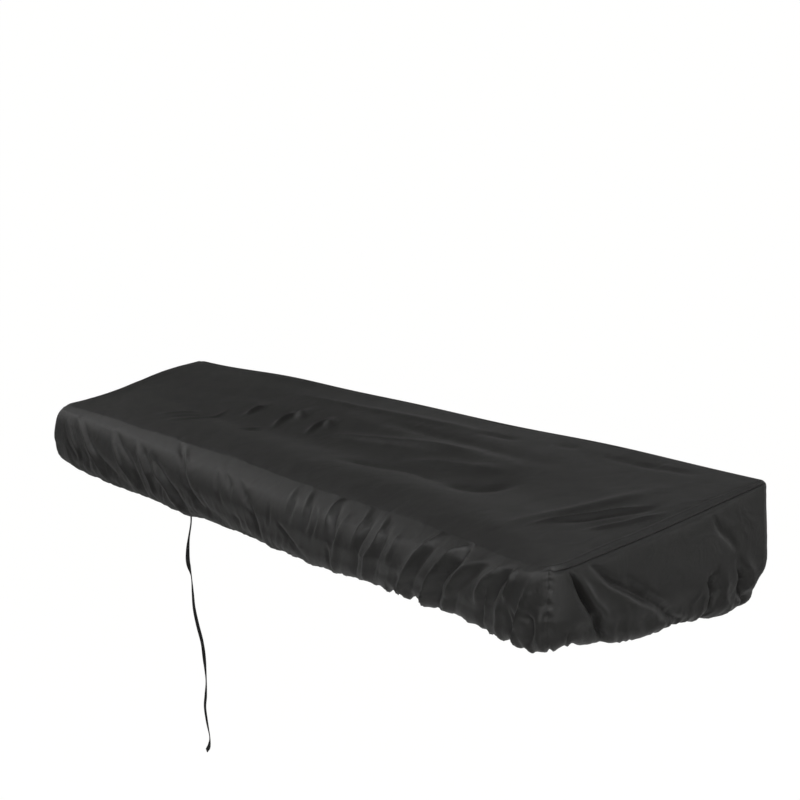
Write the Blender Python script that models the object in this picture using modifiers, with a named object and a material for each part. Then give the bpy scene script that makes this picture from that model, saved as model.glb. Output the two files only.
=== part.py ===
"""A fitted cloth cover for a keyboard instrument, in the shape in which the instrument holds it.

The cover is three pieces of cloth and a tie. The main panel runs up the back, over the top and down the
front in one length. An end panel is set in at each end, below the top's end edge and at two corner seams.
Elastic in the hem draws the lower edge of every panel in under the instrument. A flat tie hangs from the
front hem. Metres, +X along the length, +Y to the back, +Z up, with the origin on the underside of the
top's middle, where the instrument carries the cover. Heights in the tables count from HEM_LEVEL.
"""

import math

import bpy
from mathutils import Vector

# Driving dimensions of the cover as it hangs.
LENGTH = 1.340
DEPTH = 0.272
FRONT_HEIGHT = 0.066
BACK_HEIGHT = 0.1265
CLOTH = 0.002
SEAM_GAP = 0.0003
TURN_RADIUS = 0.014
HEM_REACH = 0.018
HEM_RISE = 0.003
HEM_CORNER_RADIUS = 0.024
TOP_CORNER_RADIUS = 0.004
# How much of a fold is there where it starts, where the skirt turns under, and at the hem's edge.
FOLD_AT_START = 0.15
FOLD_AT_TURN = 0.6
FOLD_AT_HEM = 0.4
# Folds fade out over this share of a corner's turn, so that the corner seams stay smooth.
CORNER_FADE = 0.15

TIE_WIDTH = 0.006
TIE_CLOTH = 0.001
TIE_STEP = 0.010

# The sides in the order in which the edge runs round: direction along, direction outward.
SIDES = {
    "front": (Vector((1, 0)), Vector((0, -1))),
    "right": (Vector((0, 1)), Vector((1, 0))),
    "back": (Vector((-1, 0)), Vector((0, 1))),
    "left": (Vector((0, -1)), Vector((-1, 0))),
}
# Radius in plan of the corner where each side starts.
CORNER_RADII = {"front": 0.034, "right": 0.036, "back": 0.009, "left": 0.016}
NEXT_SIDE = {"front": "right", "right": "back", "back": "left", "left": "front"}

# Divisions of the straight stretch of each side, and the turns of the columns in each half corner.
STRAIGHT_STEPS = {"front": 64, "right": 8, "back": 64, "left": 8}
CORNER_TURNS = (40, 20, 0)
# Rows down the rolled edge and the skirt, as fractions of each stretch. The seam row comes between
# the third and fourth rows of the roll.
ROLL_ROWS = (0.0, 0.25, 0.44, 0.56, 0.78, 1.0)
WALL_ROWS = (0.34, 0.67, 1.0)
TURN_ROWS = (0.5, 1.0)
SEAM_ROW = 3

# The edge of each side: place along it, radius of the roll at the top edge, how far the skirt bellies
# out, height where it starts to draw in, how far it draws in, and height of its underside.
EDGES = {
    "front": (
        # place, roll, belly, knee, pull, underside
        (-0.670, 0.022, 0.007, 0.018, 0.003, -0.022),
        (-0.600, 0.024, 0.012, 0.018, 0.003, -0.025),
        (-0.450, 0.027, 0.013, 0.018, 0.004, -0.026),
        (-0.200, 0.032, 0.011, 0.020, 0.004, -0.024),
        (0.000, 0.044, 0.008, 0.022, 0.004, -0.020),
        (0.200, 0.047, 0.008, 0.022, 0.004, -0.021),
        (0.350, 0.047, 0.006, 0.022, 0.004, -0.015),
        (0.500, 0.036, 0.006, 0.022, 0.004, -0.012),
        (0.600, 0.020, 0.005, 0.022, 0.004, -0.014),
        (0.670, 0.011, 0.005, 0.022, 0.003, -0.011),
    ),
    "right": (
        (-0.136, 0.011, 0.005, 0.022, 0.003, -0.011),
        (-0.050, 0.013, 0.007, 0.022, 0.003, -0.012),
        (0.010, 0.012, 0.007, 0.030, 0.003, -0.008),
        (0.080, 0.010, 0.006, 0.042, 0.003, -0.006),
        (0.136, 0.006, 0.006, 0.050, 0.004, -0.004),
    ),
    "back": (
        (-0.670, 0.007, 0.004, 0.052, 0.006, -0.012),
        (-0.400, 0.006, 0.008, 0.050, 0.008, -0.014),
        (-0.050, 0.006, 0.006, 0.048, 0.010, -0.010),
        (0.300, 0.006, 0.009, 0.052, 0.008, -0.013),
        (0.670, 0.006, 0.006, 0.050, 0.004, -0.004),
    ),
    "left": (
        (-0.136, 0.022, 0.007, 0.018, 0.003, -0.022),
        (-0.050, 0.018, 0.010, 0.024, 0.004, -0.019),
        (0.050, 0.012, 0.008, 0.036, 0.006, -0.015),
        (0.136, 0.007, 0.004, 0.052, 0.006, -0.012),
    ),
}

# Soft ridges and troughs of each skirt: where the fold starts, where it ends, its half width at each
# end, and how far it stands out (ridge) or in (trough). Places run along the side, heights up it.
FOLDS = {
    "front": (
        # place, height, to place, to height, half width, to half width, rise
        (-0.612, 0.060, -0.560, -0.020, 0.010, 0.014, 0.004),
        (-0.546, 0.062, -0.458, -0.020, 0.010, 0.016, 0.005),
        (-0.500, 0.060, -0.412, -0.020, 0.009, 0.013, -0.004),
        (-0.395, 0.060, -0.330, -0.020, 0.010, 0.016, 0.005),
        (-0.345, 0.056, -0.290, -0.020, 0.009, 0.012, -0.004),
        (-0.285, 0.056, -0.236, -0.020, 0.010, 0.016, 0.004),
        (-0.141, 0.074, -0.096, -0.020, 0.007, 0.012, -0.006),
        (-0.003, 0.050, 0.112, -0.020, 0.012, 0.016, -0.004),
        (0.200, 0.062, 0.150, -0.020, 0.012, 0.016, 0.003),
        (0.300, 0.072, 0.244, -0.020, 0.010, 0.015, -0.004),
        (0.345, 0.074, 0.292, -0.020, 0.010, 0.015, 0.004),
        (0.391, 0.076, 0.342, -0.020, 0.010, 0.014, -0.005),
        (0.440, 0.074, 0.398, -0.020, 0.010, 0.015, 0.005),
        (0.482, 0.072, 0.450, -0.020, 0.008, 0.013, -0.004),
        (0.532, 0.070, 0.494, -0.020, 0.009, 0.014, 0.005),
        (0.566, 0.066, 0.530, -0.020, 0.008, 0.011, -0.005),
        (0.599, 0.062, 0.566, -0.020, 0.008, 0.011, 0.005),
        (0.622, 0.050, 0.600, -0.020, 0.007, 0.010, -0.004),
        (0.634, 0.040, 0.650, -0.020, 0.006, 0.010, -0.009),
    ),
    "right": (
        (-0.106, 0.066, -0.066, -0.016, 0.006, 0.011, -0.009),
        (-0.090, 0.060, -0.044, -0.016, 0.008, 0.012, 0.004),
        (-0.084, 0.070, 0.020, 0.008, 0.007, 0.013, -0.006),
        (0.030, 0.060, 0.034, -0.010, 0.010, 0.014, 0.004),
        (0.068, 0.046, 0.064, -0.010, 0.006, 0.010, -0.005),
        (0.099, 0.052, 0.096, -0.010, 0.006, 0.009, -0.005),
    ),
    "back": (
        (0.560, 0.066, 0.540, -0.010, 0.012, 0.018, -0.005),
        (0.470, 0.058, 0.462, -0.010, 0.012, 0.018, 0.005),
        (0.350, 0.070, 0.330, -0.010, 0.012, 0.018, -0.005),
        (0.210, 0.056, 0.222, -0.010, 0.012, 0.020, 0.005),
        (0.080, 0.062, 0.060, -0.010, 0.012, 0.018, -0.004),
        (-0.060, 0.070, -0.090, -0.010, 0.012, 0.020, -0.005),
        (-0.190, 0.056, -0.200, -0.010, 0.012, 0.018, 0.005),
        (-0.330, 0.066, -0.306, -0.010, 0.012, 0.020, -0.005),
        (-0.450, 0.060, -0.440, -0.010, 0.012, 0.018, 0.004),
        (-0.570, 0.068, -0.556, -0.010, 0.012, 0.018, -0.005),
    ),
    "left": (
        (-0.086, 0.050, -0.070, -0.020, 0.008, 0.012, -0.006),
        (-0.040, 0.060, -0.030, -0.020, 0.009, 0.013, 0.005),
        (0.010, 0.070, 0.016, -0.020, 0.008, 0.012, -0.006),
        (0.060, 0.060, 0.058, -0.010, 0.009, 0.012, 0.004),
        (0.096, 0.060, 0.092, -0.010, 0.007, 0.010, -0.005),
    ),
}

# Soft relief of the top: middle, half length and half width, turn from the X axis, and rise.
TOP_RELIEF = (
    # x, y, half length, half width, turn in degrees, rise
    (0.050, -0.010, 0.420, 0.036, 0.0, -0.0075),
    (-0.050, 0.078, 0.460, 0.030, 0.0, 0.0035),
    (-0.260, 0.030, 0.130, 0.012, 6.0, 0.0020),
    (0.075, 0.048, 0.110, 0.012, -5.0, 0.0025),
    (0.300, 0.040, 0.130, 0.013, 4.0, 0.0025),
    (0.556, -0.006, 0.060, 0.010, 62.0, 0.0030),
    (0.612, -0.006, 0.040, 0.009, 60.0, 0.0022),
    (-0.330, -0.024, 0.160, 0.010, -3.0, -0.0015),
    (0.230, 0.136, 0.500, 0.070, 0.0, 0.0010),
    (-0.640, -0.060, 0.090, 0.060, 0.0, -0.0070),
)

# The tie's course down from the hem, as its middle line and the way it is turned about that line.
TIE_ROUTE = (
    # x, y, z, turn in degrees
    (-0.166, -0.1125, -0.0228, 10),
    (-0.162, -0.1145, -0.0400, 35),
    (-0.168, -0.1155, -0.0620, 75),
    (-0.175, -0.1145, -0.0820, 40),
    (-0.177, -0.1135, -0.0990, -10),
    (-0.169, -0.1125, -0.1170, -50),
    (-0.165, -0.1125, -0.1400, -80),
    (-0.159, -0.1135, -0.1600, -60),
    (-0.146, -0.1145, -0.1800, -30),
    (-0.132, -0.1145, -0.2010, 0),
    (-0.128, -0.1135, -0.2220, 25),
    (-0.125, -0.1125, -0.2530, 65),
    (-0.127, -0.1125, -0.2750, 85),
    (-0.128, -0.1135, -0.2920, 60),
    (-0.122, -0.1135, -0.3120, 45),
    (-0.116, -0.1125, -0.3320, 55),
    (-0.121, -0.1115, -0.3460, 75),
    (-0.132, -0.1105, -0.3560, 95),
)


def smooth(fraction):
    """A soft step from 0 to 1."""
    t = min(1.0, max(0.0, fraction))
    return t * t * (3 - 2 * t)


def through(rows, place):
    """The values of a table at a place, on a smooth curve through its rows."""
    rows = sorted(rows)
    place = min(rows[-1][0], max(rows[0][0], place))
    last = len(rows) - 1
    k = max(i for i in range(last) if rows[i][0] <= place)
    a, b, c, d = rows[max(k - 1, 0)], rows[k], rows[k + 1], rows[min(k + 2, last)]
    t = (place - b[0]) / (c[0] - b[0])
    return [
        0.5 * (2 * q + (r - p) * t + (2 * p - 5 * q + 4 * r - s) * t**2 + (3 * q - p - 3 * r + s) * t**3)
        for p, q, r, s in zip(a[1:], b[1:], c[1:], d[1:])
    ]


def top_height(x, y):
    """Height of the top's outer face."""
    height = FRONT_HEIGHT + (BACK_HEIGHT - FRONT_HEIGHT) * (y + DEPTH / 2) / DEPTH
    for mid_x, mid_y, half_length, half_width, turn, rise in TOP_RELIEF:
        c, s = math.cos(math.radians(turn)), math.sin(math.radians(turn))
        along = ((x - mid_x) * c + (y - mid_y) * s) / half_length
        across = ((y - mid_y) * c - (x - mid_x) * s) / half_width
        height += rise * math.exp(-(along**2) - across**2)
    return height


HEM_LEVEL = CLOTH - top_height(0, 0)


class Column:
    """One line down the cover's edge: its side, and where on that side it runs."""

    def __init__(self, side, zone, value):
        self.side, self.zone, self.value = side, zone, value
        self.outer, self.normal = self.plan(0, 0)

    def plan(self, out, low):
        """Place and outward direction in plan, out beyond the edge; low is 1 at the drawn-in hem."""
        along, outward = SIDES[self.side]
        ends = []
        for side in (self.side, NEXT_SIDE[self.side]):
            tightest = TOP_CORNER_RADIUS + low * (HEM_CORNER_RADIUS - TOP_CORNER_RADIUS)
            ends.append(max(CORNER_RADII[side] + out, tightest))
        half = Vector((LENGTH / 2 + out, DEPTH / 2 + out))
        middle = Vector((outward.x * half.x, outward.y * half.y))
        reach = abs(along.x) * half.x + abs(along.y) * half.y
        start = middle - along * (reach - ends[0])
        end = middle + along * (reach - ends[1])
        if self.zone == "straight":
            return start.lerp(end, self.value), outward
        turn = math.radians(self.value)
        sign, radius, centre = (-1, ends[0], start) if self.zone == "start" else (1, ends[1], end)
        normal = outward * math.cos(turn) + along * sign * math.sin(turn)
        return centre - outward * radius + normal * radius, normal

    def edge(self):
        """Roll, belly, knee, pull and underside here, blended round the corners."""
        long_side = "front" if self.normal.y < 0 else "back"
        end_side = "right" if self.normal.x > 0 else "left"
        by_length = through(EDGES[long_side], self.outer.x)
        by_depth = through(EDGES[end_side], self.outer.y)
        return [self.normal.y**2 * a + self.normal.x**2 * b for a, b in zip(by_length, by_depth)]

    def fold(self, height):
        """How far the skirt's folds stand out at a height."""
        place = self.outer.dot(Vector((1, 0)) if SIDES[self.side][0].x else Vector((0, 1)))
        total = 0
        for from_place, from_height, to_place, to_height, width, to_width, rise in FOLDS[self.side]:
            run = Vector((to_place - from_place, to_height - from_height))
            here = Vector((place - from_place, height - from_height))
            t = min(1.0, max(0.0, here.dot(run) / run.length_squared))
            away = (here - run * t).length / (width + (to_width - width) * t)
            total += rise * smooth(FOLD_AT_START + t) * math.exp(-(away**2))
        clear_of_corner = (max(abs(self.normal.x), abs(self.normal.y)) ** 2 - 0.5) / CORNER_FADE
        return total * smooth(clear_of_corner)

    def points(self):
        """The column's points, from the rim of the top down to the edge of the hem."""
        roll, belly, knee, pull, underside = self.edge()
        inner, _ = self.plan(-roll, 0)
        rise = top_height(*self.outer) - top_height(*inner)
        first = -math.atan2(rise, roll)
        inset = roll * (1 - math.sin(first))
        rim, _ = self.plan(-inset, 0)
        centre = top_height(*rim) - roll * math.cos(first)
        low = underside + TURN_RADIUS
        found = []

        def add(out, height, lean, unrolled, weight=1.0, drawn=0.0):
            lift = self.fold(unrolled) * weight
            place, _ = self.plan(out + lift * math.cos(lean), drawn)
            found.append(Vector((place.x, place.y, height + lift * math.sin(lean) + HEM_LEVEL)))

        for part in ROLL_ROWS:
            turn = first + part * (math.pi / 2 - first)
            out = roll * math.sin(turn) - roll
            height = centre + roll * math.cos(turn)
            if part == 0:
                out, height = -inset, top_height(*rim)
            add(out, height, math.pi / 2 - turn, height, smooth(part))
        for part in WALL_ROWS:
            height = centre + part * (low - centre)
            drawn = smooth((knee - height) / (knee - low))
            out = belly * math.sin(math.pi * part) - pull * drawn
            add(out, height, 0, height, drawn=drawn)
        for part in TURN_ROWS:
            turn = part * math.pi / 2
            out = TURN_RADIUS * (math.cos(turn) - 1) - pull
            height = low - TURN_RADIUS * math.sin(turn)
            add(out, height, -turn, low - TURN_RADIUS * turn, FOLD_AT_TURN, 1)
        inward = -pull - TURN_RADIUS - HEM_REACH
        add(inward, underside + HEM_RISE, -math.pi / 2, underside - HEM_REACH, FOLD_AT_HEM, 1)
        found.insert(SEAM_ROW, (found[SEAM_ROW - 1] + found[SEAM_ROW]) / 2)
        return found


def edge_ring():
    """Every column round the edge as its points, and the number of each side's first column."""
    ring, starts = [], {}
    for side, steps in STRAIGHT_STEPS.items():
        starts[side] = len(ring)
        ring.append(None)
        ring += [Column(side, "start", turn).points() for turn in CORNER_TURNS]
        ring += [Column(side, "straight", k / steps).points() for k in range(1, steps)]
        ring += [Column(side, "end", turn).points() for turn in reversed(CORNER_TURNS)]
    for first in starts.values():
        before, after = ring[first - 1], ring[first + 1]
        ring[first] = [(a + b) / 2 for a, b in zip(before, after)]
    return ring, starts


def top_grid(ring, starts):
    """The top's points, as rows from front to back, on a patch between the rims of the four sides."""
    rim = [column[0] for column in ring] + [ring[0][0]]
    front = rim[: starts["right"] + 1]
    right = rim[starts["right"] : starts["back"] + 1]
    back = rim[starts["back"] : starts["left"] + 1][::-1]
    left = rim[starts["left"] :][::-1]
    wide, deep = len(front) - 1, len(right) - 1
    grid = []
    for j in range(deep + 1):
        v = (right[j].y - right[0].y) / (right[-1].y - right[0].y)
        row = []
        for i in range(wide + 1):
            u = (front[i].x - front[0].x) / (front[-1].x - front[0].x)
            ruled = front[i].lerp(back[i], v) + left[j].lerp(right[j], u)
            corners = front[0].lerp(front[-1], u).lerp(back[0].lerp(back[-1], u), v)
            point = ruled - corners
            point.z = top_height(point.x, point.y) + HEM_LEVEL
            row.append(point)
        row[0], row[-1] = left[j], right[j]
        grid.append(row)
    grid[0], grid[-1] = front, back
    return grid


def cloth(name, quads, thickness, finish):
    """One piece of cloth: its outer face from four-sided faces, with Solidify giving the thickness."""
    numbers, corners, faces = {}, [], []
    for quad in quads:
        face = []
        for point in quad:
            key = tuple(round(value, 7) for value in point)
            if key not in numbers:
                numbers[key] = len(corners)
                corners.append(point)
            face.append(numbers[key])
        faces.append(face)
    mesh = bpy.data.meshes.new(name)
    mesh.from_pydata(corners, [], faces)
    mesh.shade_smooth()
    mesh.materials.append(finish)
    piece = bpy.data.objects.new(name, mesh)
    cover_parts.objects.link(piece)
    solidify = piece.modifiers.new("cloth", "SOLIDIFY")
    solidify.thickness = thickness
    solidify.offset = -1
    return piece


def finish_of(name, colour, roughness):
    """A cloth finish."""
    material = bpy.data.materials.new(name)
    material.use_nodes = True
    shader = material.node_tree.nodes["Principled BSDF"]
    shader.inputs["Base Color"].default_value = (*colour, 1)
    shader.inputs["Roughness"].default_value = roughness
    shader.inputs["Metallic"].default_value = 0
    return material


def pulled(point, towards, *more):
    """A seam's point, half the seam's gap back towards the inside of its own panel."""
    moved = point.copy()
    for other in (towards, *more):
        moved += (other - point).normalized() * SEAM_GAP / 2
    return moved


def skirt_quads(ring, first, last, top_row, end_panel):
    """Faces of one side's skirt between two corner seams, from a row down to the hem's edge."""
    columns = [ring[k % len(ring)] for k in range(first, last + 1)]
    bottom = len(columns[0]) - 1

    def at(c, r):
        point = columns[c][r]
        inward = {0: 1, len(columns) - 1: len(columns) - 2}.get(c)
        if inward is not None and r >= SEAM_ROW:
            if r == SEAM_ROW:
                other = columns[c][r + 1 if end_panel else r - 1]
                return pulled(point, columns[inward][r], other)
            return pulled(point, columns[inward][r])
        if end_panel and r == SEAM_ROW:
            return pulled(point, columns[c][r + 1])
        return point

    return [
        (at(c, r), at(c, r + 1), at(c + 1, r + 1), at(c + 1, r))
        for c in range(len(columns) - 1)
        for r in range(top_row, bottom)
    ]


def end_rim_quads(ring, first, last, front_column, back_column):
    """Faces of the top's end edge above its seam, which the top's cloth turns down over."""
    columns = [ring[k % len(ring)] for k in range(first, last + 1)]

    def at(c, r):
        point = columns[c][r]
        if r != SEAM_ROW:
            return point
        above = columns[c][r - 1]
        if c == 0:
            return pulled(point, front_column[r], above)
        if c == len(columns) - 1:
            return pulled(point, back_column[r], above)
        return pulled(point, above)

    return [
        (at(c, r), at(c, r + 1), at(c + 1, r + 1), at(c + 1, r))
        for c in range(len(columns) - 1)
        for r in range(SEAM_ROW)
    ]


def make_panels():
    """The main panel and the two end panels."""
    ring, starts = edge_ring()
    grid = top_grid(ring, starts)
    first, right, back, left = (starts[side] for side in SIDES)
    count = len(ring)
    main = [
        (grid[j][i], grid[j][i + 1], grid[j + 1][i + 1], grid[j + 1][i])
        for j in range(len(grid) - 1)
        for i in range(len(grid[0]) - 1)
    ]
    main += skirt_quads(ring, first, right, 0, False)
    main += skirt_quads(ring, back, left, 0, False)
    main += end_rim_quads(ring, right, back, ring[right - 1], ring[back + 1])
    main += end_rim_quads(ring, left, count, ring[left - 1], ring[1])
    cloth("main_panel", main, CLOTH, black_cloth)
    cloth("end_panel_right", skirt_quads(ring, right, back, SEAM_ROW, True), CLOTH, black_cloth)
    cloth("end_panel_left", skirt_quads(ring, left, count, SEAM_ROW, True), CLOTH, black_cloth)


def make_tie():
    """The flat tie, as a strip that turns about its own middle line as it hangs."""
    rows = [(k, *row) for k, row in enumerate(TIE_ROUTE)]
    span = sum(math.dist(a[:3], b[:3]) for a, b in zip(TIE_ROUTE, TIE_ROUTE[1:]))
    steps = round(span / TIE_STEP)
    line = [through(rows, k * (len(rows) - 1) / steps) for k in range(steps + 1)]
    edges = []
    for x, y, z, turn in line:
        across = Vector((math.cos(math.radians(turn)), math.sin(math.radians(turn)), 0)) * TIE_WIDTH / 2
        middle = Vector((x, y, z + HEM_LEVEL))
        edges.append((middle - across, middle, middle + across))
    quads = [
        (upper[k], lower[k], lower[k + 1], upper[k + 1])
        for upper, lower in zip(edges, edges[1:])
        for k in range(2)
    ]
    cloth("draw_tape", quads, TIE_CLOTH, black_tape)


for old in list(bpy.data.objects):
    bpy.data.objects.remove(old, do_unlink=True)
cover_parts = bpy.data.collections.new("piano_cover")
bpy.context.scene.collection.children.link(cover_parts)
black_cloth = finish_of("black_cloth", (0.022, 0.022, 0.021), 0.62)
black_tape = finish_of("black_tape", (0.012, 0.012, 0.012), 0.7)
make_panels()
make_tie()
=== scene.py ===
import math

import bpy
import numpy as np
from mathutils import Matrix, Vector


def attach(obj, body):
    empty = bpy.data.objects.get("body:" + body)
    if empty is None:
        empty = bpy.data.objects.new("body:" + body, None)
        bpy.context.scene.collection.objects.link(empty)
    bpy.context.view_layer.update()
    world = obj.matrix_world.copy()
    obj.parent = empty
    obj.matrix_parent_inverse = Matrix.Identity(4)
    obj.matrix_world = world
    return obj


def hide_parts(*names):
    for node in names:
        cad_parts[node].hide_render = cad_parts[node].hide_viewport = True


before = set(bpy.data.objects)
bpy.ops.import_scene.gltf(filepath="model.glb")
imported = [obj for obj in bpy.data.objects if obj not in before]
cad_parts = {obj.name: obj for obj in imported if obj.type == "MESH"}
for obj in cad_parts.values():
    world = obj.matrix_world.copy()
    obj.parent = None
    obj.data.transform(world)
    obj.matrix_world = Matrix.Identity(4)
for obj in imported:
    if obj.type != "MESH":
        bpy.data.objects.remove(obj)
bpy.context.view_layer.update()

scene = bpy.context.scene

# The studio: a pale floor that curves up into a pale wall all round, with soft lights on every side, one
# overhead and one low over the floor. Their strengths began as a fit to the photograph, made in another
# script, and were then changed by hand.
FLOOR_LEVEL = -1.0
FLOOR_RADIUS = 6.0
COVE_RADIUS = 2.5
WALL_HEIGHT = 9.0
SURROUND = (0.93, 0.935, 0.94)
SURROUND_STRENGTH = 0.01
LIGHTS = (
    # name, place, size, watts, colour
    ("left_softbox", (-2.6, -1.9, 2.1), (2.2, 1.6), 4, (1.0, 0.995, 0.985)),
    ("near_left_softbox", (-2.2, -0.6, 1.0), (0.9, 0.7), 2.7, (1.0, 0.995, 0.985)),
    ("low_left_softbox", (-1.6, -1.0, 0.6), (0.9, 0.7), 1.2, (1.0, 0.995, 0.985)),
    ("front_softbox", (0.7, -0.9, 0.9), (0.9, 0.7), 8.5, (1.0, 1.0, 1.0)),
    ("right_softbox", (1.9, -1.0, 0.2), (0.9, 0.7), 9, (1.0, 0.995, 0.98)),
    ("right_back_softbox", (2.6, 2.4, 0.6), (1.8, 1.4), 15, (1.0, 0.995, 0.98)),
    ("back_left_softbox", (-2.4, 2.4, 1.3), (2.0, 1.6), 1.5, (1.0, 1.0, 1.0)),
    ("wide_front_softbox", (-0.8, -3.2, 1.2), (2.4, 1.6), 4, (1.0, 1.0, 1.0)),
    ("back_softbox", (0.4, 3.2, 0.4), (2.4, 1.2), 12, (1.0, 1.0, 1.0)),
    ("floor_bounce", (0.0, 0.3, -0.98), (2.4, 1.6), 2, (1.0, 1.0, 1.0)),
    ("overhead", (0.9, 0.6, 1.4), (1.0, 0.8), 3.5, (1.0, 1.0, 1.0)),
)


def lathe(name, profile, steps):
    """A surface turned about the vertical axis from (radius, height) pairs."""
    corners = [
        (r * math.cos(2 * math.pi * k / steps), r * math.sin(2 * math.pi * k / steps), z)
        for r, z in profile
        for k in range(steps)
    ]
    faces = [
        (j * steps + k, j * steps + (k + 1) % steps, (j + 1) * steps + (k + 1) % steps, (j + 1) * steps + k)
        for j in range(len(profile) - 1)
        for k in range(steps)
    ]
    mesh = bpy.data.meshes.new(name)
    mesh.from_pydata(corners, [], faces)
    mesh.shade_smooth()
    piece = bpy.data.objects.new(name, mesh)
    scene.collection.objects.link(piece)
    return piece


cove = [
    (FLOOR_RADIUS + COVE_RADIUS * math.sin(t), FLOOR_LEVEL + COVE_RADIUS * (1 - math.cos(t)))
    for t in np.linspace(0, math.pi / 2, 9)
]
profile = [(0.001, FLOOR_LEVEL), (2.0, FLOOR_LEVEL), *cove, (FLOOR_RADIUS + COVE_RADIUS, WALL_HEIGHT)]
floor = lathe("studio_floor", profile, 96)
paper = bpy.data.materials.new("studio_paper")
paper.use_nodes = True
paper_nodes, paper_links = paper.node_tree.nodes, paper.node_tree.links
paper_nodes["Principled BSDF"].inputs["Base Color"].default_value = (0.86, 0.86, 0.85, 1)
paper_nodes["Principled BSDF"].inputs["Roughness"].default_value = 0.9
glow = paper_nodes.new("ShaderNodeEmission")
glow.inputs["Color"].default_value = (1.0, 1.0, 0.995, 1)
glow.inputs["Strength"].default_value = 1.03
seen = paper_nodes.new("ShaderNodeLightPath")
share = paper_nodes.new("ShaderNodeMath")
share.operation = "MULTIPLY"
share.inputs[1].default_value = 0.97
both = paper_nodes.new("ShaderNodeMixShader")
paper_links.new(seen.outputs["Is Camera Ray"], share.inputs[0])
paper_links.new(share.outputs[0], both.inputs[0])
paper_links.new(paper_nodes["Principled BSDF"].outputs[0], both.inputs[1])
paper_links.new(glow.outputs[0], both.inputs[2])
paper_links.new(both.outputs[0], paper_nodes["Material Output"].inputs["Surface"])
floor.data.materials.append(paper)

world = bpy.data.worlds.new("studio")
world.use_nodes = True
world.node_tree.nodes["Background"].inputs["Color"].default_value = (*SURROUND, 1)
world.node_tree.nodes["Background"].inputs["Strength"].default_value = SURROUND_STRENGTH
scene.world = world
for name, place, size, watts, colour in LIGHTS:
    lamp = bpy.data.lights.new(name, "AREA")
    lamp.shape = "RECTANGLE"
    lamp.size, lamp.size_y = size
    lamp.energy = watts
    lamp.color = colour
    holder = bpy.data.objects.new(name, lamp)
    holder.location = place
    holder.visible_camera = False
    holder.rotation_euler = (Vector((0, 0, -0.05)) - Vector(place)).to_track_quat("-Z", "Y").to_euler()
    scene.collection.objects.link(holder)
scene.view_settings.view_transform = "Standard"

# The main panel is one length of coated black polyester: back skirt, top and front skirt, laid over the
# edge of what it covers and drawn in underneath by the elastic in its hem. Every size here is the cloth as
# it hangs: a rounded plan, a top that rises to the back, an edge that rolls over, a belly and a hem.
LENGTH = 1.34
DEPTH = 0.272
FRONT_HEIGHT = 0.066
BACK_HEIGHT = 0.1265
CLOTH = 0.002
HEM_REACH = 0.018
HEM_RISE = 0.003
HEM_CORNER_RADIUS = 0.024
TOP_CORNER_RADIUS = 0.004
BELLY_START = 0.3
SIDES = {
    "front": ((1, 0), (0, -1)),
    "right": ((0, 1), (1, 0)),
    "back": ((-1, 0), (0, 1)),
    "left": ((0, -1), (-1, 0)),
}
CORNER_RADII = {"front": 0.034, "right": 0.036, "back": 0.009, "left": 0.016}
NEXT_SIDE = {"front": "right", "right": "back", "back": "left", "left": "front"}
EDGES = {
    "front": (
        # place, roll, belly, knee, pull, underside, turn
        (-0.67, 0.022, 0.006, 0.018, 0.002, -0.0235, 0.032),
        (-0.6, 0.024, 0.008, 0.018, 0.002, -0.028, 0.029),
        (-0.45, 0.027, 0.008, 0.018, 0.003, -0.0288, 0.025),
        (-0.2, 0.032, 0.006, 0.02, 0.003, -0.0242, 0.022),
        (0.000, 0.044, 0.004, 0.022, 0.003, -0.0208, 0.022),
        (0.2, 0.047, 0.003, 0.022, 0.003, -0.0221, 0.02),
        (0.35, 0.047, 0.003, 0.022, 0.003, -0.0161, 0.019),
        (0.5, 0.036, 0.003, 0.022, 0.003, -0.0111, 0.018),
        (0.6, 0.02, 0.003, 0.022, 0.003, -0.0131, 0.016),
        (0.635, 0.015, 0.003, 0.022, 0.003, -0.0161, 0.015),
        (0.67, 0.011, 0.003, 0.022, 0.003, -0.0081, 0.014),
    ),
    "right": (
        (-0.136, 0.011, 0.003, 0.022, 0.003, -0.0081, 0.014),
        (-0.095, 0.012, 0.003, 0.022, 0.003, -0.0071, 0.014),
        (-0.05, 0.013, 0.004, 0.022, 0.003, -0.0098, 0.014),
        (-0.015, 0.012, 0.004, 0.027, 0.003, -0.0118, 0.014),
        (0.03, 0.012, 0.004, 0.034, 0.003, -0.0068, 0.014),
        (0.08, 0.01, 0.0027, 0.042, 0.0032, -0.0051, 0.014),
        (0.136, 0.006, 0.003, 0.052, 0.0062, -0.0023, 0.014),
    ),
    "back": (
        (-0.67, 0.007, 0.005, 0.052, 0.006, -0.0135, 0.02),
        (-0.4, 0.006, 0.006, 0.05, 0.008, -0.0122, 0.016),
        (-0.05, 0.006, 0.004, 0.048, 0.01, -0.0088, 0.014),
        (0.3, 0.006, 0.005, 0.052, 0.008, -0.0115, 0.014),
        (0.67, 0.006, 0.003, 0.052, 0.0062, -0.0023, 0.014),
    ),
    "left": (
        (-0.136, 0.022, 0.006, 0.018, 0.002, -0.0235, 0.032),
        (-0.05, 0.018, 0.01, 0.024, 0.003, -0.019, 0.022),
        (0.05, 0.012, 0.008, 0.036, 0.005, -0.0146, 0.02),
        (0.136, 0.007, 0.005, 0.052, 0.006, -0.0135, 0.02),
    ),
}
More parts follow.
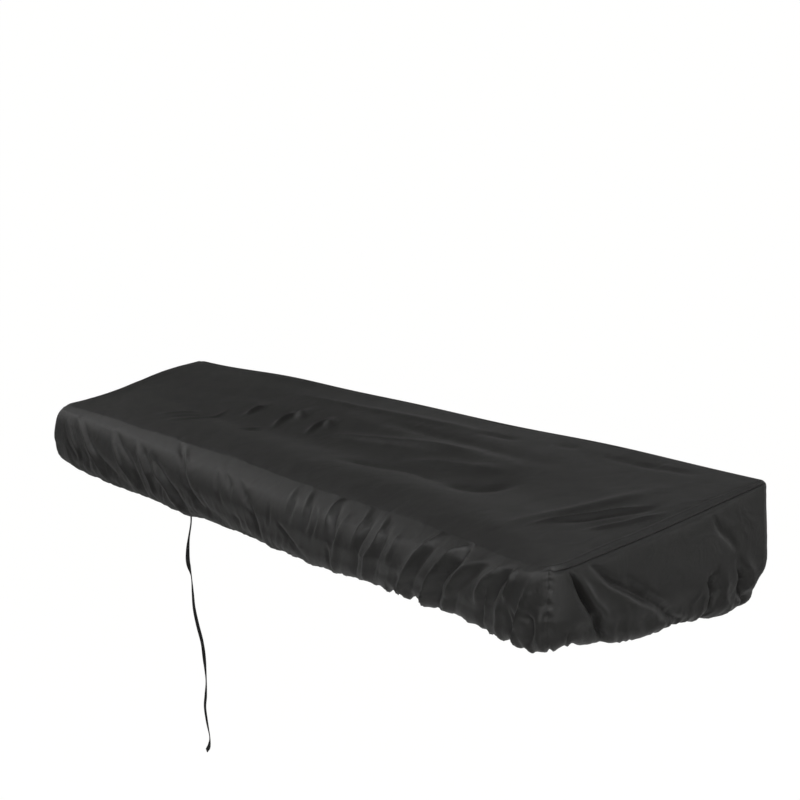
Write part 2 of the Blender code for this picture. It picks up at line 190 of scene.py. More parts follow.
TOP_RELIEF = (
    # x, y, half length, half width, turn in degrees, rise
    (0.05, -0.01, 0.42, 0.036, 0.0, -0.0075),
    (-0.05, 0.078, 0.46, 0.03, 0.0, 0.0035),
    (-0.26, 0.03, 0.13, 0.012, 6.0, 0.002),
    (0.075, 0.048, 0.11, 0.012, -5.0, 0.0025),
    (0.3, 0.04, 0.13, 0.013, 4.0, 0.0025),
    (0.556, -0.006, 0.06, 0.01, 62.0, 0.003),
    (0.612, -0.006, 0.04, 0.009, 60.0, 0.0022),
    (-0.33, -0.024, 0.16, 0.01, -3.0, -0.0015),
    (0.23, 0.136, 0.5, 0.07, 0.0, 0.001),
    (-0.64, -0.06, 0.09, 0.06, 0.0, -0.0045),
    (-0.67, 0.06, 0.06, 0.06, 0.0, 0.003),
    (-0.33, 0.136, 0.17, 0.05, 0.0, 0.005),
    (0.000, 0.136, 0.2, 0.05, 0.0, 0.003),
    (0.43, 0.136, 0.14, 0.05, 0.0, 0.0032),
)
# Where the top starts to fall away to the front: place along it, how far behind the front edge, the fall.
FRONT_FALL = (
    (-0.67, 0.014, 0.000),
    (-0.476, 0.02, 0.002),
    (-0.371, 0.028, 0.003),
    (-0.2, 0.036, 0.005),
    (-0.023, 0.05, 0.009),
    (0.09, 0.068, 0.013),
    (0.206, 0.074, 0.015),
    (0.314, 0.076, 0.015),
    (0.435, 0.063, 0.012),
    (0.56, 0.048, 0.008),
    (0.634, 0.028, 0.003),
    (0.67, 0.016, 0.000),
)
FALL_EASE = 0.16
# Creases of the top: rise, half width at each end, and their course as (x, y). The courses were marked on
# the photograph, then moved a little and carried to the cloth, and their rises were scaled to give these
# rows. Another script moved the marks a little, carried them to the cloth, scaled the rises and wrote
# these rows.
TOP_CREASES = (
    (0.0037, 0.0036, 0.005, ((0.547, -0.061), (0.564, -0.037), (0.585, -0.01), (0.616, 0.027))),
    (-0.0031, 0.005, 0.008, ((0.567, -0.046), (0.595, -0.018), (0.619, 0.012), (0.63, 0.033))),
    (0.0026, 0.003, 0.0045, ((0.611, -0.043), (0.627, -0.02), (0.636, 0.003), (0.648, 0.024))),
    (-0.0022, 0.003, 0.004, ((0.661, -0.024), (0.659, -0.005), (0.658, 0.018))),
    (0.0022, 0.004, 0.006, ((-0.386, -0.067), (-0.359, -0.046), (-0.332, -0.025))),
    (-0.0022, 0.004, 0.005, ((-0.348, -0.067), (-0.321, -0.046), (-0.296, -0.026))),
    (0.0026, 0.003, 0.005, ((-0.33, -0.078), (-0.3, -0.056), (-0.277, -0.026), (-0.288, -0.001))),
    (0.0022, 0.003, 0.003, ((-0.169, -0.038), (-0.157, -0.028), (-0.145, -0.019))),
    (-0.0022, 0.003, 0.003, ((-0.15, -0.039), (-0.14, -0.031), (-0.123, -0.023))),
    (0.0048, 0.005, 0.008, ((-0.229, 0.004), (-0.231, 0.018), (-0.226, 0.03))),
    (0.0053, 0.005, 0.008, ((-0.122, -0.005), (-0.138, 0.016), (-0.128, 0.039), (-0.099, 0.027))),
    (-0.0031, 0.004, 0.005, ((-0.131, 0.03), (-0.14, 0.046))),
    (0.0048, 0.005, 0.008, ((-0.038, 0.002), (-0.049, 0.02), (-0.044, 0.036), (-0.015, 0.026))),
    (0.0044, 0.005, 0.008, ((0.017, 0.017), (0.105, 0.025), (0.184, 0.035), (0.296, 0.047))),
    (0.004, 0.008, 0.012, ((0.215, 0.001), (0.267, 0.01), (0.32, 0.016), (0.385, 0.026))),
    (-0.0026, 0.006, 0.01, ((0.067, 0.063), (0.165, 0.062), (0.273, 0.062), (0.384, 0.053))),
    (-0.004, 0.006, 0.01, ((0.123, -0.042), (0.192, -0.029), (0.27, -0.019), (0.347, -0.029))),
    (-0.004, 0.006, 0.012, ((0.347, -0.029), (0.395, -0.022), (0.428, 0.008))),
    (0.0022, 0.003, 0.006,
     ((-0.218, 0.082), (-0.073, 0.084), (0.051, 0.088), (0.182, 0.095), (0.244, 0.097))),
    (-0.002, 0.003, 0.003, ((0.229, 0.092), (0.269, 0.094), (0.308, 0.095))),
    (-0.002, 0.003, 0.003, ((0.371, 0.105), (0.389, 0.105), (0.406, 0.106))),
    (-0.002, 0.003, 0.003, ((0.446, 0.102), (0.512, 0.102), (0.596, 0.109))),
)
# Creases of the skirts: rise, half width at each end, and their course as (distance along the side from its
# middle, distance up the cloth from where it turns under). The front and right rows were made in the same
# way as the top's.
CREASES = {
    "front": (
        (0.0039, 0.0035, 0.0055, ((-0.561, 0.065), (-0.513, 0.045), (-0.466, 0.017), (-0.43, -0.005))),
        (-0.0021, 0.003, 0.004, ((-0.57, 0.055), (-0.524, 0.031), (-0.487, 0.009), (-0.507, -0.03))),
        (-0.0039, 0.005, 0.009, ((-0.517, 0.056), (-0.466, 0.029), (-0.422, 0.013), (-0.368, -0.004))),
        (0.0032, 0.004, 0.005, ((-0.587, 0.05), (-0.551, 0.026), (-0.523, 0.007), (-0.54, -0.03))),
        (-0.0024, 0.003, 0.004, ((-0.601, 0.042), (-0.566, 0.013), (-0.529, -0.007))),
        (0.0039, 0.0035, 0.0055, ((-0.396, 0.055), (-0.369, 0.035), (-0.343, 0.017), (-0.319, 0.004))),
        (-0.0039, 0.0045, 0.008, ((-0.391, 0.064), (-0.35, 0.045), (-0.304, 0.025), (-0.284, 0.006))),
        (0.0032, 0.0035, 0.005, ((-0.306, 0.058), (-0.274, 0.037), (-0.249, 0.018), (-0.24, 0.007))),
        (-0.0032, 0.0035, 0.005, ((-0.283, 0.054), (-0.258, 0.042), (-0.231, 0.023))),
        (-0.006, 0.005, 0.01,
         ((-0.242, 0.048), (-0.212, 0.033), (-0.182, 0.018), (-0.15, -0.002), (-0.13, -0.016))),
        (0.0032, 0.004, 0.0055, ((-0.237, 0.036), (-0.217, 0.025), (-0.192, 0.011), (-0.168, -0.006))),
        (-0.0018, 0.003, 0.003, ((-0.203, 0.018), (-0.205, -0.01))),
        (-0.004, 0.003, 0.0075,
         ((-0.184, 0.078), (-0.142, 0.052), (-0.124, 0.032), (-0.104, 0.016), (-0.084, 0.003),
         (-0.049, -0.005))),
        (0.0018, 0.003, 0.004, ((-0.163, 0.074), (-0.122, 0.048), (-0.101, 0.029))),
        (-0.0015, 0.003, 0.004, ((-0.053, 0.06), (-0.024, 0.034), (-0.005, 0.013))),
        (-0.0025, 0.003, 0.0035, ((-0.019, 0.055), (0.007, 0.041), (0.017, 0.028))),
        (-0.0035, 0.003, 0.0045,
         ((0.024, 0.051), (0.05, 0.037), (0.066, 0.03), (0.083, 0.017), (0.092, -0.006))),
        (-0.0016, 0.003, 0.0035, ((0.018, 0.004), (0.037, 0.000), (0.033, -0.02))),
        (-0.0019, 0.003, 0.003, ((0.118, 0.036), (0.125, 0.023), (0.12, 0.012))),
        (-0.0027, 0.003, 0.0035, ((0.146, 0.023), (0.164, 0.011), (0.181, 0.002), (0.194, -0.005))),
        (0.0019, 0.0035, 0.004, ((0.151, 0.072), (0.158, 0.055), (0.164, 0.039))),
        (-0.0025, 0.0045, 0.005, ((0.169, 0.057), (0.172, 0.046), (0.173, 0.03))),
        (0.0023, 0.003, 0.004, ((0.184, 0.074), (0.195, 0.059), (0.205, 0.041))),
        (-0.0027, 0.0038, 0.0045, ((0.207, 0.057), (0.214, 0.041), (0.216, 0.023))),
        (-0.002, 0.003, 0.003, ((0.218, 0.055), (0.233, 0.04), (0.233, 0.028), (0.227, 0.014))),
        (0.0016, 0.003, 0.003, ((0.227, 0.054), (0.24, 0.04), (0.241, 0.022))),
        (0.004, 0.0038, 0.005, ((0.254, 0.077), (0.25, 0.065), (0.256, 0.049), (0.26, 0.034))),
        (-0.0041, 0.0055, 0.006, ((0.26, 0.065), (0.268, 0.047), (0.278, 0.027), (0.275, 0.013))),
        (0.0025, 0.005, 0.006, ((0.288, 0.058), (0.291, 0.038), (0.288, 0.019), (0.279, 0.000))),
        (-0.0025, 0.003, 0.004, ((0.266, 0.015), (0.267, -0.001))),
        (0.0031, 0.003, 0.003, ((0.314, 0.073), (0.325, 0.057), (0.325, 0.042), (0.32, 0.025))),
        (0.0023, 0.003, 0.003, ((0.332, 0.043), (0.327, 0.025))),
        (-0.0041, 0.0045, 0.0055,
         ((0.338, 0.062), (0.342, 0.048), (0.337, 0.031), (0.331, 0.012), (0.323, -0.006))),
        (0.0038, 0.0035, 0.0045,
         ((0.356, 0.068), (0.368, 0.049), (0.366, 0.031), (0.354, 0.013), (0.345, -0.006))),
        (-0.0032, 0.0045, 0.0055, ((0.379, 0.056), (0.382, 0.04), (0.377, 0.021), (0.366, 0.003))),
        (0.0025, 0.004, 0.0045, ((0.403, 0.051), (0.403, 0.032), (0.394, 0.017))),
        (-0.0026, 0.003, 0.003, ((0.419, 0.011), (0.41, -0.005))),
        (0.0048, 0.005, 0.006,
         ((0.466, 0.07), (0.464, 0.055), (0.452, 0.038), (0.442, 0.021), (0.43, 0.007))),
        (-0.0043, 0.006, 0.0065, ((0.478, 0.054), (0.468, 0.042), (0.456, 0.022), (0.443, 0.006))),
        (0.007, 0.003, 0.0035,
         ((0.53, 0.068), (0.518, 0.059), (0.506, 0.044), (0.497, 0.03), (0.484, 0.017), (0.47, 0.000))),
        (0.0027, 0.003, 0.003, ((0.513, 0.052), (0.505, 0.038), (0.493, 0.024), (0.482, 0.011))),
        (-0.007, 0.0055, 0.007,
         ((0.525, 0.068), (0.524, 0.054), (0.521, 0.041), (0.511, 0.031), (0.499, 0.016), (0.487, -0.005))),
        (0.0054, 0.005, 0.006,
         ((0.565, 0.055), (0.546, 0.044), (0.534, 0.035), (0.523, 0.021), (0.512, 0.005), (0.504, -0.008))),
        (-0.0043, 0.0065, 0.007,
         ((0.585, 0.057), (0.565, 0.048), (0.556, 0.038), (0.544, 0.028), (0.529, 0.015), (0.516, -0.005))),
        (0.0054, 0.0045, 0.0055,
         ((0.593, 0.057), (0.589, 0.048), (0.577, 0.038), (0.569, 0.026), (0.564, 0.012))),
        (-0.0059, 0.0035, 0.006, ((0.579, 0.031), (0.573, 0.015), (0.568, 0.000))),
        (0.0027, 0.003, 0.0032, ((0.584, 0.037), (0.579, 0.022), (0.573, 0.002))),
        (-0.007, 0.005, 0.006,
         ((0.613, 0.062), (0.606, 0.05), (0.595, 0.038), (0.588, 0.024), (0.585, 0.014))),
        (0.0049, 0.003, 0.0035, ((0.617, 0.062), (0.617, 0.05), (0.612, 0.038), (0.61, 0.028))),
        (0.0032, 0.004, 0.004, ((0.601, 0.022), (0.597, 0.006))),
        (-0.0027, 0.003, 0.004, ((0.613, 0.025), (0.616, 0.011), (0.617, 0.000))),
        (0.0059, 0.003, 0.0035,
         ((0.647, 0.057), (0.642, 0.045), (0.638, 0.035), (0.633, 0.022), (0.622, 0.001))),
        (-0.007, 0.003, 0.005, ((0.636, 0.027), (0.645, 0.017), (0.645, 0.008), (0.642, 0.000))),
        (-0.0032, 0.003, 0.003, ((0.618, 0.024), (0.624, 0.015), (0.624, 0.001))),
        (0.0032, 0.003, 0.003, ((0.655, 0.026), (0.653, 0.008), (0.654, -0.002))),
    ),
    "right": (
        (-0.0026, 0.0022, 0.003, ((-0.109, 0.002), (-0.109, -0.008))),
        (-0.0016, 0.0022, 0.0028, ((-0.093, 0.003), (-0.087, -0.004))),
        (-0.0022, 0.0022, 0.0028, ((-0.089, 0.01), (-0.08, -0.004))),
        (-0.011, 0.002, 0.006,
         ((-0.108, 0.058), (-0.1, 0.044), (-0.093, 0.032), (-0.085, 0.021), (-0.077, 0.01), (-0.07, -0.001),
         (-0.065, -0.01))),
        (0.0026, 0.003, 0.0045,
         ((-0.101, 0.055), (-0.091, 0.042), (-0.083, 0.029), (-0.073, 0.02), (-0.065, 0.008))),
        (-0.007, 0.0022, 0.0055,
         ((-0.085, 0.062), (-0.076, 0.056), (-0.064, 0.047), (-0.05, 0.041), (-0.03, 0.032), (-0.013, 0.024),
         (0.011, 0.007))),
        (0.001, 0.004, 0.005,
         ((-0.089, 0.054), (-0.074, 0.045), (-0.054, 0.035), (-0.035, 0.025), (-0.017, 0.014))),
        (-0.0034, 0.004, 0.005, ((-0.047, 0.049), (-0.035, 0.04), (-0.021, 0.034))),
        (-0.0018, 0.0024, 0.0032, ((0.062, 0.09), (0.072, 0.077), (0.083, 0.068), (0.092, 0.058))),
        (-0.009, 0.0028, 0.0036, ((0.066, 0.038), (0.059, 0.028), (0.072, 0.011), (0.075, -0.004))),
        (-0.01, 0.0032, 0.004, ((0.094, 0.043), (0.107, 0.021), (0.128, -0.002), (0.129, -0.009))),
        (0.0029, 0.005, 0.005, ((0.079, 0.036), (0.084, 0.016), (0.105, -0.009))),
        (0.0022, 0.0045, 0.0045, ((0.103, 0.045), (0.131, 0.009), (0.132, -0.002))),
        (-0.0026, 0.009, 0.01, ((0.018, 0.027), (0.045, 0.006))),
        (-0.0016, 0.0025, 0.003, ((-0.053, 0.004), (-0.048, -0.004))),
    ),
    "back": (
        (-0.003, 0.006, 0.01, ((0.566, 0.08), (0.556, 0.05), (0.538, 0.02), (0.53, 0.000))),
        (0.0026, 0.006, 0.009, ((0.478, 0.066), (0.47, 0.04), (0.464, 0.015), (0.46, 0.000))),
        (-0.0028, 0.006, 0.01, ((0.356, 0.084), (0.345, 0.05), (0.332, 0.022), (0.322, 0.000))),
        (0.0026, 0.006, 0.01, ((0.206, 0.064), (0.212, 0.036), (0.222, 0.012))),
        (-0.0026, 0.005, 0.009, ((0.09, 0.072), (0.078, 0.044), (0.066, 0.018), (0.056, 0.000))),
        (-0.0028, 0.006, 0.011, ((-0.05, 0.08), (-0.066, 0.046), (-0.084, 0.02), (-0.098, 0.000))),
        (0.0024, 0.0055, 0.009, ((-0.186, 0.066), (-0.194, 0.038), (-0.198, 0.01))),
        (-0.003, 0.006, 0.011, ((-0.34, 0.078), (-0.326, 0.048), (-0.312, 0.02), (-0.302, 0.000))),
        (0.0022, 0.0055, 0.009, ((-0.456, 0.064), (-0.446, 0.034), (-0.44, 0.008))),
        (-0.0028, 0.0055, 0.01, ((-0.578, 0.082), (-0.568, 0.05), (-0.558, 0.022), (-0.552, 0.000))),
    ),
    "left": (
        (-0.0034, 0.004, 0.009, ((-0.092, 0.06), (-0.082, 0.036), (-0.074, 0.012), (-0.068, -0.006))),
        (0.0026, 0.0045, 0.008, ((-0.044, 0.07), (-0.036, 0.042), (-0.03, 0.014))),
        (-0.0034, 0.0045, 0.009, ((0.004, 0.078), (0.012, 0.048), (0.018, 0.018), (0.02, -0.004))),
        (0.0024, 0.0045, 0.008, ((0.062, 0.07), (0.06, 0.04), (0.057, 0.012))),
        (-0.003, 0.0045, 0.008, ((0.1, 0.076), (0.097, 0.046), (0.093, 0.016), (0.092, -0.004))),
    ),
}
# Lesser creases that run up from the hem of each side: how many, their greatest rise and height, their seed.
LESSER_CREASES = {
    "front": (44, 0.0009, 0.026, 21), "right": (22, 0.0011, 0.03, 22), "back": (70, 0.0016, 0.06, 23),
    "left": (16, 0.0016, 0.05, 24)
}
# The gathers that the elastic makes: wavelength, depth, how far up the skirt they reach, and their seed.
GATHERS = (
    (0.0085, 0.0003, 0.004, 11),
    (0.017, 0.0004, 0.008, 12),
    (0.038, 0.0006, 0.02, 13),
)
GATHERS_UNDER = 4.0
HEM_ZONE = 0.008
# How far the gathers lean along the skirt for each metre up it: place, lean.
LEANS = {
    "front": (
        (-0.67, -0.5), (-0.3, -0.9), (-0.1, -0.5), (0.02, -1.2), (0.15, 0.5), (0.45, 0.7), (0.6, 0.5),
        (0.67, -0.2)
    ),
    "right": ((-0.136, -0.4), (-0.06, -0.7), (0.04, -0.2), (0.136, 0.1)),
    "back": ((-0.67, 0.1), (0.000, 0.2), (0.67, -0.1)),
    "left": ((-0.136, -0.2), (0.136, 0.2)),
}
CASING_BULGE = 0.0012
SEAM_GROOVE = 0.0001
SEAM_PUCKER, SEAM_PUCKER_BACK = 0.0013, 0.15
SEAM_PUCKER_LENGTH, SEAM_PUCKER_LEAN, SEAM_PUCKER_REACH = 0.0028, 0.4, 0.004
# The ends' seam, from the rim down: a ridge where the top turns over, the seam's hollow, the lap below it.
END_SEAM = ((0.0035, 0.0022, 0.0012), (0.0085, 0.003, -0.001), (0.0135, 0.0022, 0.0006))
CORNER_TURNS = (45, 43.6, 41.5, 38.5, 34.5, 29.5, 24, 18, 12, 6, 0)
LONG_STEPS, SHORT_STEPS = 420, 52
LONG_GRADING = 0.74
ROLL_ROWS = (0, 0.11, 0.22, 0.32, 0.4, 0.46, 0.5, 0.54, 0.6, 0.68, 0.78, 0.89, 1)
SEAM_ROW = 6
WALL_STEPS = 24
TURN_STEPS = 6
HEM_STEPS = 6
TURN_ROW = len(ROLL_ROWS) - 1 + WALL_STEPS
LINING_DEPTH = 0.0012


def smooth(t):
    """A soft step from 0 to 1."""
    t = np.clip(t, 0, 1)
    return t * t * (3 - 2 * t)


def through(rows, place):
    """The values of a table at some places, on smooth curves through its rows, along a new last axis."""
    rows = np.array(sorted(rows), float)
    at, values = rows[:, 0], rows[:, 1:]
    place = np.clip(place, at[0], at[-1])
    k = np.clip(np.searchsorted(at, place, side="right") - 1, 0, len(at) - 2)
    a, b, c, d = (values[np.clip(k + n, 0, len(at) - 1)] for n in (-1, 0, 1, 2))
    t = ((place - at[k]) / (at[k + 1] - at[k]))[..., None]
    return 0.5 * (2 * b + (c - a) * t + (2 * a - 5 * b + 4 * c - d) * t**2 + (3 * b - a - 3 * c + d) * t**3)


def relief(rows, x, y):
    """The sum of soft oblong rises at some places of the top."""
    total = np.zeros(np.broadcast(x, y).shape)
    for mid_x, mid_y, half_length, half_width, turn, rise in rows:
        c, s = math.cos(math.radians(turn)), math.sin(math.radians(turn))
        along = ((x - mid_x) * c + (y - mid_y) * s) / half_length
        across = ((y - mid_y) * c - (x - mid_x) * s) / half_width
        total += rise * np.exp(-(along**2) - across**2)
    return total


def top_height(x, y):
    """Height of the top's outer face."""
    start, fall = np.moveaxis(through(FRONT_FALL, x + 0 * y), -1, 0)
    near = np.clip((start - y - DEPTH / 2) / start, 0, None)
    fallen = fall * (np.hypot(near, FALL_EASE) - FALL_EASE) / (math.hypot(1, FALL_EASE) - FALL_EASE)
    level = FRONT_HEIGHT + (BACK_HEIGHT - FRONT_HEIGHT) * (y + DEPTH / 2) / DEPTH
    return level + relief(TOP_RELIEF, x, y) - fallen


HEM_LEVEL = CLOTH - float(top_height(np.zeros(1), np.zeros(1))[0])


def ripple(x, seed):
    """A soft uneven wave along a line, from -1 to 1, one turn to about two metres of its argument."""
    values = np.random.default_rng(seed).uniform(-1, 1, 4096)
    k = np.floor(x).astype(int)
    t = smooth(x - k)
    return values[k % 4096] * (1 - t) + values[(k + 1) % 4096] * t


def cloud(x, y, seed):
    """Soft uneven patches over a surface, from -1 to 1."""
    values = np.random.default_rng(seed).uniform(-1, 1, (256, 256))
    i, j = np.floor(x).astype(int), np.floor(y).astype(int)
    s, t = smooth(x - i), smooth(y - j)
    i, j = i % 256, j % 256
    i2, j2 = (i + 1) % 256, (j + 1) % 256
    lower = values[i, j] * (1 - s) + values[i2, j] * s
    upper = values[i, j2] * (1 - s) + values[i2, j2] * s
    return lower * (1 - t) + upper * t


def creases(rows, along, up, hem=None):
    """The sum of some creases at places of the cloth: each follows a smooth course, swells from its start, and
    is crisper along its crest than a round fold. One that comes down to the hem runs on under it."""
    total = np.zeros(np.broadcast(along, up).shape)
    for rise, width, end_width, course in rows:
        marks = np.array(course)
        steps = np.linspace(0, len(marks) - 1, 4 * (len(marks) - 1) + 1)
        line = through([(k, *mark) for k, mark in enumerate(marks)], steps)
        to_hem = hem is not None and marks[-1, 1] < hem
        if to_hem:
            line = np.concatenate([line, line[-1:] + (line[-1:] - line[-2:-1]) * 6])
        gone = np.concatenate([[0], np.cumsum(np.linalg.norm(np.diff(line, axis=0), axis=1))])
        reach = 3 * max(width, end_width)
        low, high = line.min(axis=0) - reach, line.max(axis=0) + reach
        near = np.nonzero((along > low[0]) & (along < high[0]) & (up > low[1]) & (up < high[1]))
        a, b = along[near], up[near]
        best, share = np.full(a.shape, 1e9), np.zeros(a.shape)
        for k in range(len(line) - 1):
            step = line[k + 1] - line[k]
            t = np.clip(((a - line[k, 0]) * step[0] + (b - line[k, 1]) * step[1]) / (step @ step), 0, 1)
            away = np.hypot(a - line[k, 0] - step[0] * t, b - line[k, 1] - step[1] * t)
            closer = away < best
            best = np.where(closer, away, best)
            share = np.where(closer, (gone[k] + t * (gone[k + 1] - gone[k])) / gone[-1], share)
        away = best / (width + (end_width - width) * share)
        fade = smooth((share + 0.12) / 0.4)
        if not to_hem:
            fade = fade * smooth((1.12 - share) / 0.4)
        total[near] += rise * fade * np.exp(-(away**1.6))
    return total


def plan(side, sign, value, out, low):
    """Place and outward direction in plan, out beyond the edge; low is 1 at the drawn-in hem. sign is -1 or 1
    in the corner at the side's start or end, where value is a turn, and 0 between them, where it's a share."""
    along, outward = np.array(SIDES[side], float)
    tightest = TOP_CORNER_RADIUS + low * (HEM_CORNER_RADIUS - TOP_CORNER_RADIUS)
    first, last = (np.maximum(CORNER_RADII[s] + out, tightest)[..., None] for s in (side, NEXT_SIDE[side]))
    half = np.stack([LENGTH / 2 + out, DEPTH / 2 + out], -1)
    middle = outward * half
    reach = (np.abs(along) * half).sum(-1, keepdims=True)
    start, end = middle - along * (reach - first), middle + along * (reach - last)
    sign, value = sign[..., None], value[..., None]
    radius, centre = np.where(sign < 0, first, last), np.where(sign < 0, start, end)
    turn = np.where(sign == 0, 0, value)
    normal = outward * np.cos(turn) + along * sign * np.sin(turn)
    corner = centre - outward * radius + normal * radius
    return np.where(sign == 0, start + (end - start) * value, corner), normal + np.zeros_like(corner)


def grid_normals(points):
    """Unit normals of a grid of points."""
    down = np.gradient(points, axis=1)
    along = np.gradient(points, axis=0)
    normal = np.cross(down, along)
    return normal / np.maximum(np.linalg.norm(normal, axis=-1, keepdims=True), 1e-12)


def graded(side):
    """Shares of a side's straight stretch at its columns, closer together towards the right end."""
    if side in ("right", "left"):
        return np.arange(SHORT_STEPS + 1) / SHORT_STEPS
    shares = (
        1 - np.exp(-LONG_GRADING * np.arange(LONG_STEPS + 1) / LONG_STEPS)
    ) / (1 - math.exp(-LONG_GRADING))
    return shares if side == "front" else 1 - shares[::-1]


def skirt(side, fine=1):
    """One side's edge as a grid of points, columns along it and rows from the top's rim to the hem's edge,
    with each point's place in the flat cloth. fine is the number of columns for each usual one."""
    turns, shares = np.array(CORNER_TURNS, float), graded(side)
    turns, shares = (
        np.interp(np.arange((len(v) - 1) * fine + 1) / fine, np.arange(len(v)), v) for v in (turns, shares)
    )
    turns = np.radians(turns[:-1])
    sign = np.concatenate([-np.ones(len(turns)), np.zeros(len(shares)), np.ones(len(turns))])[:, None]
    value = np.concatenate([turns, shares, turns[::-1]])[:, None]
    zero = np.zeros_like(value)
    outer, normal = plan(side, sign, value, zero, zero)
    outer, normal = outer[:, 0], normal[:, 0]
    long_side = np.where(normal[:, 1] < 0, 0, 1)[:, None]
    end_side = np.where(normal[:, 0] > 0, 0, 1)[:, None]
    by_length = np.where(
        long_side == 0, through(EDGES["front"], outer[:, 0]), through(EDGES["back"], outer[:, 0])
    )
    by_depth = np.where(
        end_side == 0, through(EDGES["right"], outer[:, 1]), through(EDGES["left"], outer[:, 1])
    )
    edge = normal[:, 1:] ** 2 * by_length + normal[:, :1] ** 2 * by_depth
    roll, belly, knee, pull, underside, turn_radius = (edge[:, k : k + 1] for k in range(6))
    inner, _ = plan(side, sign, value, -roll, zero)
    rise = top_height(outer[:, :1], outer[:, 1:]) - top_height(inner[..., 0], inner[..., 1])
    first = -np.arctan2(rise, roll)
    inset = roll * (1 - np.sin(first))
    rim, _ = plan(side, sign, value, -inset, zero)
    rim_height = top_height(rim[..., 0], rim[..., 1])
    centre = rim_height - roll * np.cos(first)
    low = underside + turn_radius
    # The belly swells from within the roll to the turn, square to the cloth.
    belly_turn = first + BELLY_START * (math.pi / 2 - first)
    belly_length = roll * (math.pi / 2 - belly_turn) + centre - low

    def swell(gone):
        t = gone / belly_length
        return belly * smooth(t / 0.75)

    # Each stretch as how far out, height, lean of the surface, and draw.
    part = np.array(ROLL_ROWS)[None, :]
    turn = first + part * (math.pi / 2 - first)
    bulge = swell(np.maximum(turn - belly_turn, 0) * roll)
    rolled = ((roll + bulge) * np.sin(turn) - roll, centre + (roll + bulge) * np.cos(turn), 0 * turn)
    part = np.arange(1, WALL_STEPS + 1)[None, :] / WALL_STEPS
    height = centre + part * (low - centre)
    drawn = smooth((knee - height) / (knee - low))
    wall = (swell(roll * (math.pi / 2 - belly_turn) + centre - height) - pull * drawn, height, drawn)
    part = np.arange(1, TURN_STEPS + 1)[None, :] / TURN_STEPS
    turn = part * math.pi / 2 + 0 * low
    turned = (belly + turn_radius * (np.cos(turn) - 1) - pull, low - turn_radius * np.sin(turn), 0 * turn + 1)
    part = np.arange(1, HEM_STEPS + 1)[None, :] / HEM_STEPS + 0 * low
    casing = CASING_BULGE * np.sin(math.pi * np.clip(part * 1.5 - 0.5, 0, 1))
    hem = (
        belly - pull - turn_radius - (HEM_REACH + belly) * part, underside + HEM_RISE * part**2 - casing,
        0 * part + 1
    )
    out, height, drawn = (np.concatenate(rows, axis=1) for rows in zip(rolled, wall, turned, hem))
    spot, _ = plan(side, sign, value, out, drawn)
    points = np.concatenate([spot, (height + HEM_LEVEL)[..., None]], axis=-1)
    # The cloth's own measures: along the edge, down from the rim, and up from where it turns under.
    steps = np.linalg.norm(np.diff(outer, axis=0), axis=1)
    run = np.concatenate([[0], np.cumsum(steps)])
    place = outer @ np.abs(np.array(SIDES[side][0]))
    ordered = np.argsort(place)
    run = (run - np.interp(0, place[ordered], run[ordered])) * sum(SIDES[side][0])
    gone = np.cumsum(np.linalg.norm(np.diff(points, axis=1), axis=2), axis=1)
    gone = np.concatenate([0 * gone[:, :1], gone], axis=1)
    zero = 0 * gone
    return {
        "points": points,
        "place": place[:, None] + zero,
        "run": run[:, None] + zero,
        "down": gone.mean(axis=0)[None, :] + zero,
        "up": gone[:, TURN_ROW : TURN_ROW + 1] - gone,
        "corner": np.minimum(abs(run - run[0]), abs(run[-1] - run))[:, None] + zero,
        "front_corner": outer[:, 1:] + zero < 0,
    }


def lesser_creases(side, panel):
    """Small creases of uneven length that lean with the gathers of a side."""
    count, rise, height, seed = LESSER_CREASES[side]
    rng = np.random.default_rng(seed)
    rows, ends = [], (panel["run"].min(), panel["run"].max())
    for k in range(count):
        at = ends[0] + (ends[1] - ends[0]) * (k + rng.uniform(0, 1)) / count
        lean = float(through(LEANS[side], np.array([at]))[0, 0]) + rng.uniform(-0.35, 0.35)
        top = height * rng.uniform(0.3, 1.0)
        start = rng.uniform(-0.012, 0.3 * top)
        bow = rng.uniform(-0.12, 0.12) * (top - start)
        course = [
            (at + lean * up + bow * (1 - ((up - start) / (top - start) * 2 - 1) ** 2), up)
            for up in np.linspace(top, start, 3)
        ]
        width = rng.uniform(0.0026, 0.005)
        rows.append((rise * rng.uniform(0.4, 1.0) * rng.choice((-1, 1)), width, width * 1.3, tuple(course)))
    return tuple(rows)


def fine_relief(side, panel):
    """How far the creases, gathers and seam puckers stand out from one skirt."""
    run, up = panel["run"], panel["up"]
    under = smooth((-up - 0.005) / 0.016)
    total = creases(CREASES[side] + lesser_creases(side, panel), run, up, HEM_ZONE)
    total *= 1 - 0.8 * under
    lean = through(LEANS[side], panel["place"])[..., 0]
    for length, depth, reach, seed in GATHERS:
        warp = 0.35 * cloud(run / (3 * length), up / (5 * length), seed + 40)
        wave = ripple((run - lean * up) / length + warp, seed)
        share = np.exp(-((np.maximum(up, 0) / reach) ** 2)) * (
            0.6 + 0.5 * ripple(run / (4 * length), seed + 7)
        )
        total += depth * (1 - 2.4 * np.abs(wave) ** 1.3) * share * (1 + GATHERS_UNDER * under)
    groove = -SEAM_GROOVE * np.exp(-((panel["corner"] / 0.002) ** 2)) * smooth(panel["down"] / 0.01)
    strength = np.where(panel["front_corner"], 1, SEAM_PUCKER_BACK)
    waves = ripple((up + SEAM_PUCKER_LEAN * panel["corner"]) / SEAM_PUCKER_LENGTH, 5)
    pucker = SEAM_PUCKER * strength * waves * np.exp(-((panel["corner"] / SEAM_PUCKER_REACH) ** 2))
    total = total * smooth(panel["corner"] / 0.005) + (groove + pucker) * smooth(panel["down"] / 0.006)
    if side in ("right", "left"):
        uneven = (0.7 + 0.3 * ripple(run / 0.018, 9)) * smooth(panel["corner"] / 0.006)
        for down, width, rise in END_SEAM:
            total += rise * uneven * np.exp(-(((panel["down"] - down) / width) ** 2))
    return total


